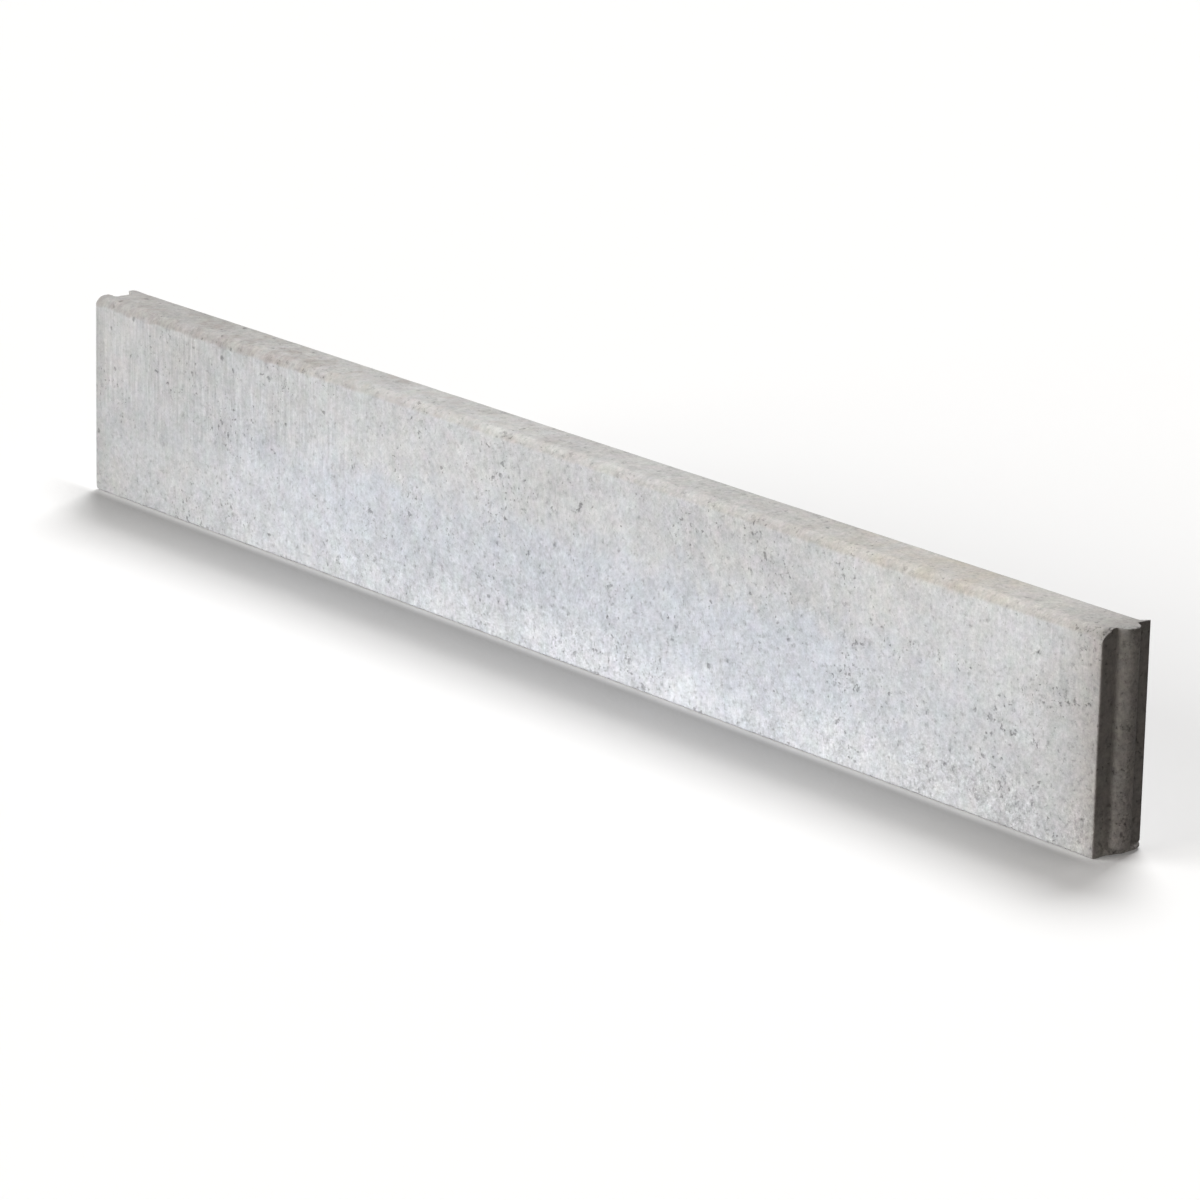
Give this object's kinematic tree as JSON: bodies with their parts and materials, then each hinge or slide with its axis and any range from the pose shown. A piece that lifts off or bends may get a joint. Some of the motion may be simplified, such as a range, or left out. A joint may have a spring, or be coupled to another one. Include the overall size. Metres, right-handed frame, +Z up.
{
  "type": "concrete kerb stone",
  "caption": "Straight precast concrete kerb stone, tall and narrow, with rounded top edges, a round full-height tongue on one end and a matching groove in the other.",
  "frame": {"origin": "centre of the base, under the middle of the overall length with the tongue included", "axes": "+Z up, +X along the kerb from the groove end to the tongue end, -Y out of the show face"},
  "size_m": [2.5199, 0.1, 0.35],
  "materials": {
    "concrete": "dry-cast light grey concrete, vertical drag marks and small open pores on the faces, coarser open grain along the base edge"
  },
  "bodies": {
    "root": {"kerb_stone": "concrete"}
  },
  "joints": []
}
